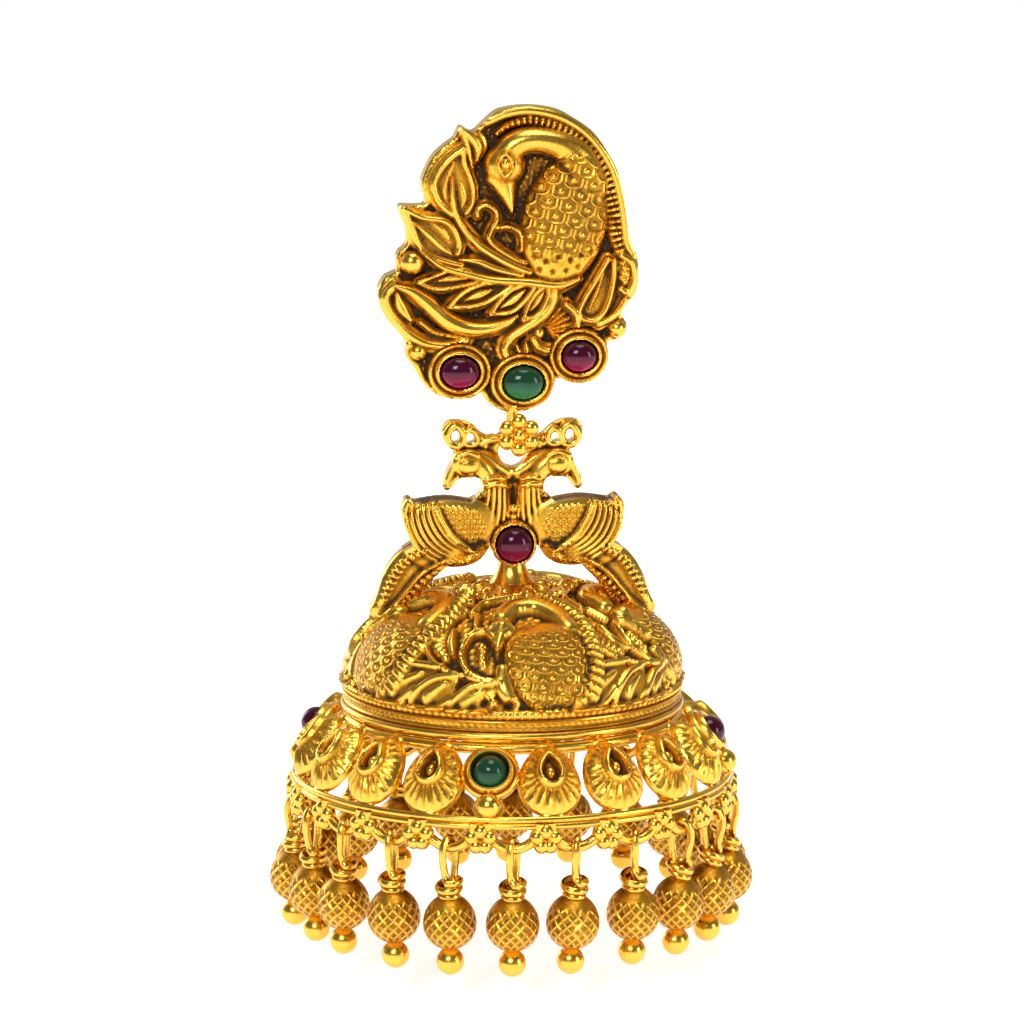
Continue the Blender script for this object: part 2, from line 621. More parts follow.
# chased lines: points, half width, height over the ground, height they start from
STUD_LINES = [
    # crest leaf and its back edge
    ([(-4.23, 8.35), (-3.51, 7.74), (-2.94, 6.9), (-3.08, 5.79)], [0.12, 0.38, 0.38, 0.15], 0.8, 2.5),
    ([(-4.23, 8.35), (-3.8, 6.9), (-3.44, 5.23)], [0.1, 0.22, 0.15], 0.7, 2.4),
    # feather leaf: left edge, right edge, inner ribs
    ([(-4.16, 6.7), (-5.09, 6.1), (-6.1, 5.0), (-6.6, 3.83), (-6.2, 2.43), (-5.09, 1.31)], 0.3, 0.75, 2.4),
    ([(-4.16, 6.7), (-4.09, 5.51), (-3.65, 4.39), (-3.37, 3.27), (-3.51, 2.15), (-3.94, 1.45)],
     0.24, 0.75, 2.4),
    ([(-4.95, 5.6), (-5.6, 4.11), (-5.6, 2.71), (-5.09, 1.59)], [0.15, 0.3, 0.3, 0.1], 0.6, 2.4),
    ([(-4.4, 3.9), (-4.15, 2.7), (-4.3, 1.9)], [0.1, 0.34, 0.1], 0.6, 2.3),
    # stem from the feather leaf to the breast
    ([(-5.09, 4.39), (-5.09, 2.71), (-4.81, 1.31), (-4.09, 0.06), (-2.94, -1.2), (-1.5, -2.18),
      (0.09, -3.02), (1.3, -3.5)], [0.15, 0.25, 0.28, 0.3, 0.33, 0.36, 0.38, 0.3], 1.0, 2.4),
    # curl under the beak, and the small loop beside it
    ([(-3.01, 1.2), (-3.01, 1.73), (-2.36, 2.08), (-1.57, 1.65), (-1.42, 0.89), (-1.86, 0.06),
      (-2.07, -0.78), (-1.21, -1.62), (0.23, -2.46), (0.95, -2.74)], 0.22, 0.9, 2.4),
    ([(-1.35, 0.2), (-0.49, 0.27), (0.37, -0.08), (0.66, -0.78), (0.6, -1.7)], 0.2, 0.85, 2.4),
    # long leaf to the left: upper edge, lower edge, rib
    ([(-9.12, 1.87), (-7.54, 1.1), (-5.81, 0.82), (-4.95, 0.06), (-4.52, -1.2), (-4.66, -1.9)],
     0.27, 0.8, 2.4),
    ([(-9.12, 1.87), (-8.4, 0.2), (-7.83, -1.2), (-6.82, -2.1), (-5.53, -2.6), (-4.37, -2.88)],
     0.27, 0.8, 2.4),
    ([(-8.3, 0.7), (-6.96, -0.4), (-5.96, -1.34), (-5.09, -2.04)], [0.1, 0.36, 0.36, 0.1], 0.7, 2.4),
    ([(-6.9, 0.7), (-6.0, 0.1), (-5.3, -0.9)], [0.1, 0.25, 0.1], 0.55, 2.4),
    # tail stem
    ([(-7.79, -1.65), (-5.99, -2.96), (-3.88, -3.62), (-1.78, -4.13), (0.93, -4.35), (3.64, -4.64),
      (5.45, -4.13)], [0.15, 0.28, 0.32, 0.36, 0.4, 0.4, 0.2], 1.05, 2.4),
    ([(-4.6, -2.4), (-2.98, -2.6), (-1.48, -3.2), (0.63, -3.75)], [0.1, 0.28, 0.3, 0.3], 0.95, 2.4),
    # leaves under the tail stem: edges and ribs
    ([(-7.94, -4.28), (-6.59, -3.76), (-5.09, -3.25), (-3.88, -3.3), (-2.68, -4.13)], 0.2, 0.85, 2.4),
    ([(-7.94, -4.28), (-7.0, -4.7), (-5.84, -4.86), (-3.88, -4.49), (-2.68, -4.13)], 0.2, 0.85, 2.4),
    ([(-6.5, -4.2), (-5.1, -3.95), (-3.88, -4.0)], [0.08, 0.3, 0.1], 0.75, 2.4),
    ([(-5.39, -6.32), (-4.18, -5.15), (-2.68, -4.49), (-1.32, -4.35)], 0.22, 0.9, 2.4),
    ([(-5.39, -6.32), (-3.88, -6.39), (-2.38, -6.03), (-1.17, -5.3), (-0.27, -4.71)], 0.22, 0.9, 2.4),
    ([(-4.1, -5.8), (-2.9, -5.35), (-1.78, -4.93)], [0.1, 0.34, 0.12], 0.8, 2.4),
    ([(-1.93, -6.98), (-1.17, -5.88), (-0.27, -5.01), (0.63, -4.64)], 0.22, 0.9, 2.4),
    ([(-1.93, -6.98), (-0.27, -6.83), (0.78, -6.03), (1.68, -4.86)], 0.22, 0.9, 2.4),
    ([(-1.1, -6.45), (0.0, -5.8), (0.93, -5.01)], [0.1, 0.34, 0.12], 0.8, 2.4),
    ([(0.78, -7.49), (1.23, -6.18), (1.99, -5.15), (2.59, -4.79)], 0.22, 0.9, 2.4),
    ([(0.78, -7.49), (1.99, -7.05), (2.74, -5.74), (2.89, -4.86)], 0.22, 0.9, 2.4),
    ([(1.4, -6.7), (2.0, -5.9), (2.51, -5.15)], [0.1, 0.3, 0.1], 0.8, 2.4),
    # flat scroll that falls to the middle cup
    ([(3.3, -4.86), (3.2, -6.03), (2.4, -7.2), (0.93, -8.17), (-0.27, -9.0), (-0.8, -9.97), (-0.27, -10.78),
      (0.63, -10.78), (1.08, -10.12), (1.0, -9.45)],
     [0.45, 0.42, 0.4, 0.38, 0.36, 0.32, 0.3, 0.26, 0.22, 0.14], 0.85, 2.4),
    ([(0.48, -10.27), (0.2, -9.5)], [0.2, 0.1], 0.6, 2.3),
    # crescent and the cup leaf below it
    ([(-9.9, -4.49), (-8.4, -5.08), (-6.89, -6.32), (-5.54, -7.49), (-3.88, -8.19), (-2.08, -8.19),
      (-0.57, -7.7), (0.3, -7.1)], [0.2, 0.42, 0.6, 0.62, 0.58, 0.5, 0.32, 0.12], 1.15, 2.4),
    ([(-9.9, -4.49), (-10.65, -5.44), (-10.35, -6.61), (-9.45, -7.84), (-8.5, -8.76), (-7.19, -9.42),
      (-5.39, -9.56), (-4.0, -9.1)], 0.33, 0.85, 2.4),
    ([(-7.79, -7.59), (-6.59, -8.47), (-5.24, -8.76), (-4.0, -8.95)], 0.18, 0.7, 2.4),
    ([(-9.7, -5.2), (-9.4, -6.32), (-8.6, -7.4)], [0.2, 0.45, 0.2], 0.75, 2.3),
    # frame of the fan
    ([(4.39, -6.22), (5.24, -7.1), (5.24, -8.37), (4.39, -9.54), (3.19, -10.05), (2.14, -9.83),
      (1.61, -9.1)], 0.27, 0.95, 2.4),
    # petal and lobe on the right
    ([(7.85, -2.52), (6.8, -4.28), (5.75, -6.03), (5.45, -7.05), (6.05, -7.56), (7.1, -7.42), (7.85, -6.18),
      (8.3, -4.28), (8.38, -2.67)], 0.26, 0.95, 2.4),
    ([(7.55, -3.55), (6.9, -5.3), (6.3, -6.7)], [0.1, 0.22, 0.12], 0.8, 2.3),
    ([(9.36, -5.88), (8.45, -7.2), (7.1, -7.93)], 0.28, 0.9, 2.4),
    ([(9.0, -2.2), (9.9, -2.9), (10.0, -4.2), (9.5, -5.3), (9.0, -5.0)], 0.3, 0.9, 2.4),
]
# leaves that are filled between their edges: numbers of the two edges in the list above
STUD_LEAVES = [(2, 3), (9, 10), (15, 16), (18, 19), (21, 22), (24, 25), (34, 34)]
# the bird's scaled body: middle, half width, half length, lean
STUD_BODY = (4.25, 0.55, 3.6, 5.5, -13)
# small pits below its scales
STUD_NICKS = [(1.6, -2.2), (2.6, -2.6), (3.6, -2.2), (4.6, -2.5), (5.6, -2.1), (6.5, -1.9), (2.1, -3.3),
              (3.2, -3.5), (4.3, -3.4), (5.3, -3.1)]
# plain rim behind the bird, the ribbed band inside it, and balls: x, z and radius
STUD_RIM = [(-2.2, 8.9), (-0.63, 9.56), (1.24, 9.8), (3.3, 9.45), (4.95, 8.72), (6.37, 7.6), (7.6, 6.07),
            (8.46, 4.39), (9.0, 2.43), (9.3, 0.48), (9.5, -1.2), (10.02, -2.32)]
STUD_BAND = [(-1.35, 7.95), (-0.43, 8.6), (1.09, 8.99), (2.49, 8.81), (3.93, 8.26), (5.08, 7.53),
             (6.23, 6.48), (7.14, 5.23), (7.8, 3.83), (8.15, 2.43), (8.43, 1.03), (8.55, -0.5),
             (8.87, -1.76)]
STUD_BALLS = [(-8.4, -2.67, 1.02), (-7.94, -10.1, 0.72), (2.14, -8.66, 0.5), (8.7, -8.35, 0.78),
              (-8.6, -9.5, 0.4)]
# the bird's neck from its body to its head, its ringed eye and its beak: points and half widths
NECK = ([(6.1, 3.6), (5.4, 5.6), (4.3, 6.75), (2.7, 7.3), (1.1, 7.35), (0.0, 6.9), (-0.5, 6.2)],
        [1.9, 1.6, 1.3, 1.15, 1.15, 1.2, 1.3])
# ovals: middle, half width, half length, lean
BIRD_HEAD = (-0.75, 5.35, 1.75, 1.7, 0)
EYE = (-0.8, 5.55, 0.42, 0.5, 0)
LOBE = (9.3, -3.6, 0.75, 1.5, 10)
FAN = (3.75, -7.8, 1.2, 1.7, 25)
EYE_RING = [(-0.8, 6.35), (-1.45, 5.5), (-0.8, 4.5), (-0.2, 5.5)]
BEAK = ([(-1.0, 4.4), (-0.6, 3.2), (-0.25, 1.9), (-0.15, 1.35)], [1.35, 0.85, 0.35, 0.1])
BAND_WIDTHS = [0.25, 0.32, 0.38, 0.44, 0.5, 0.56, 0.62, 0.66, 0.68, 0.68, 0.66, 0.64, 0.5]
# rings of a stone's setting: distance out from the stone and height
STUD_CUP = [(-9, 2.35), (0.02, 2.35), (0.04, 3.05), (0.14, 3.27), (0.3, 3.3), (0.42, 3.15), (0.5, 2.75),
            (0.6, 2.6), (0.7, 2.85), (0.85, 2.95), (1.0, 2.8), (1.1, 2.3)]
STUD_GROUND = 2.12        # depth of the punched ground in front of the flat back
LEAF_FILL = 2.77          # depth of the face of a leaf between its edges
STUD_LOOP = curve_through(STUD_OUTLINE, 0.35, True)
LOOP_WIRE_R = 0.4
LOOP_BEND_R = 1.05
LOOP_BEND_Z = -18.13 + LOOP_BEND_R


def stud_edge(x, z):
    return distance_to_loop(x, z, STUD_LOOP)


def stud_height(x, z):
    chased = Relief(x, z, STUD_GROUND)
    chased.height += grain(chased.u, chased.v, 0.5, 0.19)
    lip = share(1 - np.abs(stud_edge(x, z) + 0.18) / 0.3)
    chased.height = np.maximum(chased.height, 2.1 + 0.42 * np.sqrt(lip))
    chased.stroke(STUD_RIM, 0.45, 0.5, 2.35)
    chased.stroke(STUD_BAND, BAND_WIDTHS, 0.62, 2.45, rib=0.5, rib_depth=0.8)
    chased.dome(*STUD_BODY, 1.75, 2.3)
    chased.stroke(*NECK, 1.5, 2.4)
    chased.dome(*BIRD_HEAD, 1.75, 2.4)
    chased.stroke(EYE_RING, 0.17, 0.3, 4.0, closed=True)
    chased.dome(*EYE, 0.55, 3.9)
    chased.stroke(*BEAK, 1.15, 2.4)
    for one, other in STUD_LEAVES:
        edges = [curve_through(STUD_LINES[k][0], 0.3) for k in (one, other)]
        chased.fill(edges[0] if one == other else np.concatenate([edges[0], edges[1][::-1]]), LEAF_FILL)
    for x0, z0 in STUD_NICKS:
        chased.sink(x0, z0, 0.3, 0.22)
    # each line stands on a wide low foot
    for points, width, high, base in STUD_LINES:
        chased.stroke(points, np.minimum(np.array(width) * 2.3, 0.85), high * 0.42, base)
        chased.stroke(points, np.array(width) * 1.3, high, base)
    chased.dome(*LOBE, 0.9, 2.3, lambda a, b: grain(a, b, 0.5, 0.12))
    chased.dome(*FAN, 0.55, 2.35, fan_ribs)
    for x0, z0, r in STUD_BALLS:
        chased.dome(x0, z0, r, r, 0, r * 1.05, 2.4)
    for _, x0, z0, a, b in STUD_STONES:
        chased.cup(x0, z0, a, b, STUD_CUP)
    return chased.height


def fan_ribs(a, b):
    """Ribs that spread from the top of the fan."""
    return 0.16 * np.cos(np.arctan2(b, a + 2.0) * 34)


def stud_back(x, z):
    """Shallow hammered hollow in the back, with a pad left round the post at its middle."""
    inward = share((-stud_edge(x, z) - 0.5) / 0.5)
    clear_of_post = share((np.hypot(x, z) - 1.6) / 0.5)
    lumps = grain(x, z, 2.4, 0.05, 11) + grain(x, z, 0.7, 0.02, 12)
    return -(0.32 + lumps) * (inward * clear_of_post) ** 2 * (3 - 2 * inward * clear_of_post)


def stud_forms():
    plaque = casting((-11.6, -15.6), (10.8, 10.6), 0.0945, stud_edge, stud_height, stud_back,
                     (0.0, 0.03, -0.01, 0.03, -0.01, 0.02))
    bend = [(0, AXIS_Y + LOOP_BEND_R * math.cos(t), LOOP_BEND_Z + LOOP_BEND_R * math.sin(t))
            for t in np.linspace(math.pi, 2 * math.pi, 15)]
    legs = [[(0, AXIS_Y + side * LOOP_BEND_R, LOOP_BEND_Z + h) for h in heights]
            for side, heights in ((-1, (2.4, 1.2)), (1, (1.2, 2.4)))]
    return [plaque, tube(legs[0] + bend + legs[1], LOOP_WIRE_R, 12)]


def stud_ground(co, normal):
    """The punched ground of the face keeps its dark patina."""
    return np.where(normal[:, 1] < -0.4, 0.27 * share((co[:, 1] + STUD_THICK + 0.02) / 0.15), 0.0)


def stud_scales(co, normal):
    x0, z0, a, b, turn = STUD_BODY
    where = scale_place(co[:, 0] - x0, co[:, 2] - z0 - 0.8, (a * 0.97, b * 0.93), turn, 1.7, 1.05)
    low = np.clip((co[:, 2] + 3.2) / 1.4, 0.25, 1)
    where[:, 2] *= low * (normal[:, 1] < -0.1) * (co[:, 1] < -2.6)
    return where


finish(join_forms("stud_plaque_chased", stud_forms()), GOLD, "root", ["stud_plaque"],
       wear=(30, 0.2), ground=stud_ground, scales=stud_scales)


def oval_stone(name, centre, a, b, height, material, body, turn):
    """Domed oval stone, raised along local +Z, with a short girdle; turn places it."""
    t = np.linspace(0, math.pi / 2, 14)
    profile = [(0.0, -0.5), (0.35, -0.5), (0.7, -0.5), (0.95, -0.5), (1.0, -0.46), (1.0, -0.2)]
    profile += list(zip(np.cos(t) ** 0.92, height * np.sin(t)))
    profile[-1] = (0.0, height)
    mesh = turned(profile, 48)
    mesh.transform(Matrix.Diagonal((a, b, 1, 1)))
    mesh.transform(Matrix.Translation(Vector(centre) * MM) @ turn)
    stone = join_forms(name, [mesh])
    z = np.array([v.co.z for v in stone.data.vertices]) / MM
    store(stone.data, "low_in_stone", share(0.75 - (z - z.min()) / np.ptp(z)))
    finish(stone, material, body, [name.replace("_stone", "")], sharp=60)


TO_FRONT = Matrix.Rotation(math.pi / 2, 4, "X")
for node, x0, z0, a, b in STUD_STONES:
    green = node.endswith("emerald")
    oval_stone(node + "_stone", (x0, STONE_Y, z0), a, b, 1.15, EMERALD if green else RUBY,
               "root", TO_FRONT)


# ---- the twin-peacock link ----------------------------------------------------------------------
# outlines of the right-hand bird: x and height over the collar
BIRD_NECK = [
    (0.0, 20.3), (0.99, 21.2), (1.49, 22.1), (2.18, 22.51), (2.87, 22.31), (3.66, 22.2), (4.46, 22.1),
    (4.9, 21.7), (5.1, 21.0), (5.45, 20.3), (5.8, 19.5), (5.85, 18.8), (5.5, 18.6), (5.1, 18.85),
    (4.75, 19.38), (4.26, 19.62), (3.47, 19.62), (2.9, 19.7), (2.6, 19.35), (2.5, 18.9), (2.8, 18.3),
    (3.3, 17.8), (3.7, 17.3), (3.47, 15.6), (2.4, 14.2), (1.0, 14.0), (0.0, 14.5),
]
BIRD_CREST = [
    (1.49, 23.3), (2.08, 23.2), (2.87, 23.62), (3.27, 24.1), (3.96, 24.43), (4.75, 24.55), (5.45, 24.45),
    (5.87, 23.92), (5.87, 23.11), (5.45, 22.4), (4.75, 21.9), (3.66, 21.9), (2.48, 22.1), (1.4, 22.3),
]
BIRD_WING = [
    (8.91, 18.0), (9.25, 17.56), (9.35, 16.85), (9.15, 15.84), (8.75, 14.73), (8.15, 13.82), (7.23, 13.01),
    (6.14, 12.48), (4.95, 12.28), (3.66, 12.45), (2.77, 12.95), (2.2, 13.72), (1.8, 14.53), (1.78, 15.54),
    (2.18, 16.75), (2.67, 17.4), (3.66, 17.66), (4.46, 17.8), (5.45, 17.93), (6.44, 17.9), (7.43, 17.78),
    (8.22, 17.68), (8.6, 17.98),
]
BIRD_TAIL = [
    (7.43, 14.4), (8.42, 14.1), (9.6, 13.35), (10.45, 12.41), (11.05, 11.2), (11.5, 9.78), (11.9, 8.97),
    (12.1, 8.5), (11.75, 7.9), (10.4, 8.15), (9.3, 8.6), (8.5, 8.97), (8.0, 9.78), (7.2, 10.69),
    (6.6, 11.4), (5.9, 12.1), (5.45, 13.2),
]
# eyes of the crest, right through: middle, half width and half height
CREST_HOLES = [(4.8, 23.15, 0.36, 0.52), (3.55, 23.02, 0.33, 0.42)]
RING_R = 1.6
RING_WIRE_R = 0.45
RING_H = 21.7
LINK_RUBY_H = 14.2
LINK_RUBY_R = 1.5
LINK_RUBY_OUT = 1.9
BIRD_LOOPS = [curve_through(part, 0.35, True) for part in (BIRD_NECK, BIRD_CREST, BIRD_WING, BIRD_TAIL)]
NECK_LOOP, CREST_LOOP, WING_LOOP, TAIL_LOOP = BIRD_LOOPS
# edges of the wing's barbs, and the part inside them that is stippled
WING_OUTSIDE = [(8.95, 17.7), (9.1, 16.6), (8.85, 15.4), (8.3, 14.3), (7.5, 13.5), (6.4, 12.85),
                (5.2, 12.6), (4.0, 12.7), (3.0, 13.2), (2.4, 14.0)]
WING_INSIDE = [(6.5, 17.5), (6.3, 16.9), (6.05, 16.3), (5.7, 15.7), (5.3, 15.1), (4.8, 14.6), (4.3, 14.2),
               (3.8, 13.9), (3.3, 13.8), (2.9, 14.1)]
WING_STIPPLED = [(6.0, 17.5), (5.6, 16.1), (4.8, 15.0), (3.6, 14.2), (2.6, 14.6), (2.3, 15.6), (2.8, 17.0),
                 (3.8, 17.4)]
# flutes of the neck, from its collar down into the body
FLUTES = [
    ((0.3, 18.75), (0.3, 17.2), (0.4, 16.0), (0.5, 15.1)),
    ((0.75, 18.8), (0.75, 17.2), (0.85, 15.9), (1.0, 14.8)),
    ((1.2, 18.85), (1.22, 17.3), (1.35, 16.0), (1.55, 14.6)),
    ((1.65, 18.9), (1.72, 17.5), (1.95, 16.2), (2.15, 14.7)),
    ((2.08, 18.9), (2.2, 17.8), (2.55, 16.7), (2.75, 15.4)),
    ((2.45, 18.9), (2.65, 18.2), (3.15, 17.3), (3.45, 16.4)),
]
# strokes of crest, head and upper neck: points, half width, height, height they start from, closed
HEAD_LINES = [
    ([(4.78, 24.1), (4.1, 23.4), (4.4, 22.45), (5.2, 22.5), (5.5, 23.3)], 0.42, 0.6, 0.35, True),
    ([(3.5, 23.75), (2.95, 23.2), (3.2, 22.5), (3.85, 22.5), (4.1, 23.1)], 0.36, 0.55, 0.35, True),
    ([(2.9, 23.3), (2.4, 22.9), (2.3, 22.3)], 0.3, 0.4, 0.3, False),
    ([(1.3, 22.9), (2.0, 22.8), (2.6, 22.5)], 0.35, 0.5, 0.3, False),
    ([(2.0, 19.6), (2.5, 20.4), (3.2, 20.9)], [0.9, 0.95, 1.0], 0.9, 0.5, False),
    ([(0.4, 20.1), (1.2, 20.6), (2.2, 21.3), (3.4, 21.7)], [0.6, 0.7, 0.7, 0.5], 0.6, 0.35, False),
    ([(4.75, 21.1), (5.2, 20.3), (5.5, 19.5), (5.5, 18.9)], [0.7, 0.5, 0.36, 0.2], 0.75, 0.3, False),
]
BIRD_EYE = (3.75, 20.75)
OVER_DOME = (14.45, 2.7, 8.15)       # oval that the tails keep clear of: half width, middle, half height
LINK_CUP = [(-9, 1.3), (0.02, 1.3), (0.05, 2.0), (0.12, 2.2), (0.25, 2.22), (0.38, 2.0), (0.45, 1.5),
            (0.52, 0.9)]


def link_edge(x, z):
    x = np.abs(x)
    h = z - COLLAR_Z
    d = np.minimum.reduce([distance_to_loop(x, h, loop) for loop in BIRD_LOOPS])
    d = np.minimum(d, np.hypot(x, h - RING_H) - RING_R - RING_WIRE_R)
    d = np.minimum(d, np.hypot(x, h - LINK_RUBY_H) - LINK_RUBY_R - 0.5)
    d = np.maximum(d, RING_R - RING_WIRE_R - np.hypot(x, h - RING_H))
    for x0, h0, a, b in CREST_HOLES:
        d = np.maximum(d, (1 - np.hypot((x - x0) / a, (h - h0) / b)) * min(a, b))
    over_dome = np.hypot(x / OVER_DOME[0], (h - OVER_DOME[1]) / OVER_DOME[2])
    return np.where(x > 4, np.maximum(d, (1 - over_dome) * 8), d)


def stipple(pitch, depth):
    """Small round punch marks, raised, in offset rows."""
    def texture(x, y):
        row = np.round(y / (0.87 * pitch))
        a = x / pitch + 0.5 * (row % 2)
        return depth * np.exp(-((a - np.round(a)) ** 2 + (y / pitch - 0.87 * row) ** 2) / 0.05)
    return texture


def link_height(x, z, front=True):
    chased = Relief(np.abs(x), z - COLLAR_Z, 0.0)
    chased.fill(CREST_LOOP, 0.3)
    chased.fill(NECK_LOOP, 0.45)
    chased.fill(TAIL_LOOP, 0.75)
    ring = ring_path(RING_R, 24)[:, :2] + [0, RING_H]
    chased.stroke(ring, RING_WIRE_R, RING_WIRE_R, closed=True)
    for points, width, high, base, closed in HEAD_LINES:
        chased.stroke(points, width, high, base, closed)
    # cheek and eye
    chased.dome(4.0, 20.9, 1.35, 1.25, 0, 0.95, 0.5)
    chased.dome(*BIRD_EYE, 0.8, 0.68, 10, 0.32, 1.22)
    from_ring = np.abs(np.hypot(chased.u - BIRD_EYE[0], chased.v - BIRD_EYE[1]) - 0.86)
    chased.height -= 0.1 * share(1 - from_ring / 0.12)
    chased.dome(4.25, 21.35, 0.2, 0.2, 0, 0.2, 1.35)
    chased.stroke([(3.0, 21.6), (3.8, 21.85), (4.7, 21.5)], 0.28, 0.35, 0.95)
    # neck with its flutes and its collar of two rings
    chased.stroke([(1.5, 19.3), (1.45, 18.2), (1.5, 17.0), (1.9, 15.6), (2.3, 14.6)],
                  [1.1, 1.15, 1.35, 1.7, 1.6], 0.95, 0.45)
    for flute in FLUTES:
        chased.stroke(flute, 0.2, 0.28, add=True)
    chased.stroke([(0.25, 19.0), (1.4, 19.25), (2.5, 19.05)], 0.27, 0.3, add=True)
    chased.stroke([(0.25, 19.5), (1.3, 19.8), (2.3, 19.6)], 0.18, 0.15, add=True)
    # wing: barbs outside the divider, stipple inside it
    chased.fill(WING_LOOP, 1.35)
    chased.dome(5.35, 15.1, 4.3, 3.2, -8, 0.55, 1.35)
    outside, inside = np.array(WING_OUTSIDE), np.array(WING_INSIDE)
    for part in (0.0, 0.17, 0.34, 0.51, 0.68, 0.85):
        chased.stroke(outside * (1 - part) + inside * part, 0.2, 0.26, add=True)
    chased.stroke(WING_INSIDE, 0.26, 0.4, add=True)
    chased.add_inside(curve_through(WING_STIPPLED, 0.4, True), stipple(0.5, 0.24))
    # tail: rib along its middle, bumps outside and ribs across inside
    chased.stroke([(6.4, 12.9), (8.4, 12.0), (9.8, 10.5), (10.9, 8.7)], [1.3, 1.7, 1.5, 1.0], 0.5, 0.8)
    chased.stroke([(5.94, 12.9), (7.75, 11.75), (9.0, 10.3), (10.0, 9.1), (11.2, 8.2)], 0.24, 0.42,
                  add=True)
    chased.stroke([(7.6, 13.7), (9.3, 12.6), (10.3, 11.0), (11.0, 9.4)], [0.3, 0.5, 0.5, 0.35], 0.3,
                  add=True, rib=0.55, rib_depth=0.9)
    chased.stroke([(6.6, 11.7), (7.8, 10.6), (8.8, 9.4), (9.8, 8.7)], [0.35, 0.55, 0.55, 0.3], 0.34,
                  add=True, rib=0.6, rib_depth=1.0)
    if front:
        chased.cup(0, LINK_RUBY_H, LINK_RUBY_R, LINK_RUBY_R, LINK_CUP)
    else:
        chased.dome(0, LINK_RUBY_H, 1.95, 1.95, 0, 0.5, 0.9)
    return chased.height


def link_forms():
    """The cast birds, the flower on its stalk and two pins, two balls on the neck, and the stem."""
    birds = casting((-12.3, COLLAR_Z + 7.4), (12.3, COLLAR_Z + 24.8), 0.09, link_edge,
                    lambda x, z: link_height(x, z) - AXIS_Y,
                    lambda x, z: AXIS_Y + link_height(x, z, False), (0.0,))
    x0, y0, z0 = 0.35, AXIS_Y - 2.2, COLLAR_Z + 23.45
    forms = [birds, small_ball((x0, y0 - 0.3, z0), 0.55, 18)]
    for turn in np.radians(90 + 60 * np.arange(6)):
        spot = (x0 + 1.15 * math.cos(turn), y0, z0 + 1.15 * math.sin(turn))
        forms.append(small_ball(spot, 0.68, 18, 0.85))
    forms.append(tube([(x0, AXIS_Y - 2.4, z0), (x0, AXIS_Y - 1.7, z0)], 1.05, 24))
    for x in (-0.9, 0.9):
        forms.append(tube([(x, AXIS_Y - out, COLLAR_Z + 22.9) for out in (0.0, 2.0)], 0.3, 10))
    for h, r in ((17.1, 0.42), (16.35, 0.33)):
        forms.append(small_ball((0, AXIS_Y - 1.0, COLLAR_Z + h), r))
    stem = [(0, 10.66), (1.95, 10.68), (1.6, 11.1), (1.3, 11.7), (1.15, 12.3), (1.1, 12.9), (0, 13.0)]
    forms.append(turned(stem, 40, (0, AXIS_Y, COLLAR_Z)))
    return forms


def link_ground(co, normal):
    """The walls that face up keep their patina."""
    facing_up = share((normal[:, 2] - 0.65) / 0.2)
    return 1.6 * facing_up * (np.abs(co[:, 0]) > 2.8) * (co[:, 2] < COLLAR_Z + 21)


finish(join_forms("twin_peacock_link_chased", link_forms()), GOLD, "drop",
       ["twin_peacock_link"], wear=(30, 0.13), ground=link_ground)
oval_stone("link_ruby_stone", (0, AXIS_Y - LINK_RUBY_OUT, COLLAR_Z + LINK_RUBY_H), LINK_RUBY_R, LINK_RUBY_R,
           1.3, RUBY, "drop", TO_FRONT)


# ---- the dome -----------------------------------------------------------------------------------
DOME_R = 13.8
DOME_H = 7.5
DOME_RISE = 2.7           # height of its widest circle over the collar's lower edge
COLLAR_R = 14.15
BORE_R = 13.15            # inside the collar
HOLLOW_R = 13.0           # inside the dome
HOLLOW_H = 6.7
MOTIFS = 5
MOTIF_ROUND = 2 * math.pi * DOME_R / MOTIFS     # distance from one motif to the next
MOTIF_TURN = math.radians(-6.0)
DOME_COLS = 600


def dome_profile():
    """Rows up the outside: distance up from the widest circle, radius, height, and the slope of the
    outward normal."""
    t = np.linspace(0, math.pi / 2, 4000)
    r, z = DOME_R * np.cos(t), DOME_H * np.sin(t)
    arc = np.concatenate([[0], np.cumsum(np.hypot(np.diff(r), np.diff(z)))])
    lean = np.arctan2(z / DOME_H ** 2, r / DOME_R ** 2)
    collar = np.linspace(-DOME_RISE, -0.12, 29)
    up = np.linspace(0.02, arc[-1] - 0.35, 118)
    below = [collar, np.full(29, COLLAR_R), DOME_RISE + collar, np.zeros(29)]
    above = [up, np.interp(up, arc, r), DOME_RISE + np.interp(up, arc, z), np.interp(up, arc, lean)]
    return np.column_stack([np.concatenate(pair) for pair in zip(below, above)])


DOME_ROWS = dome_profile()

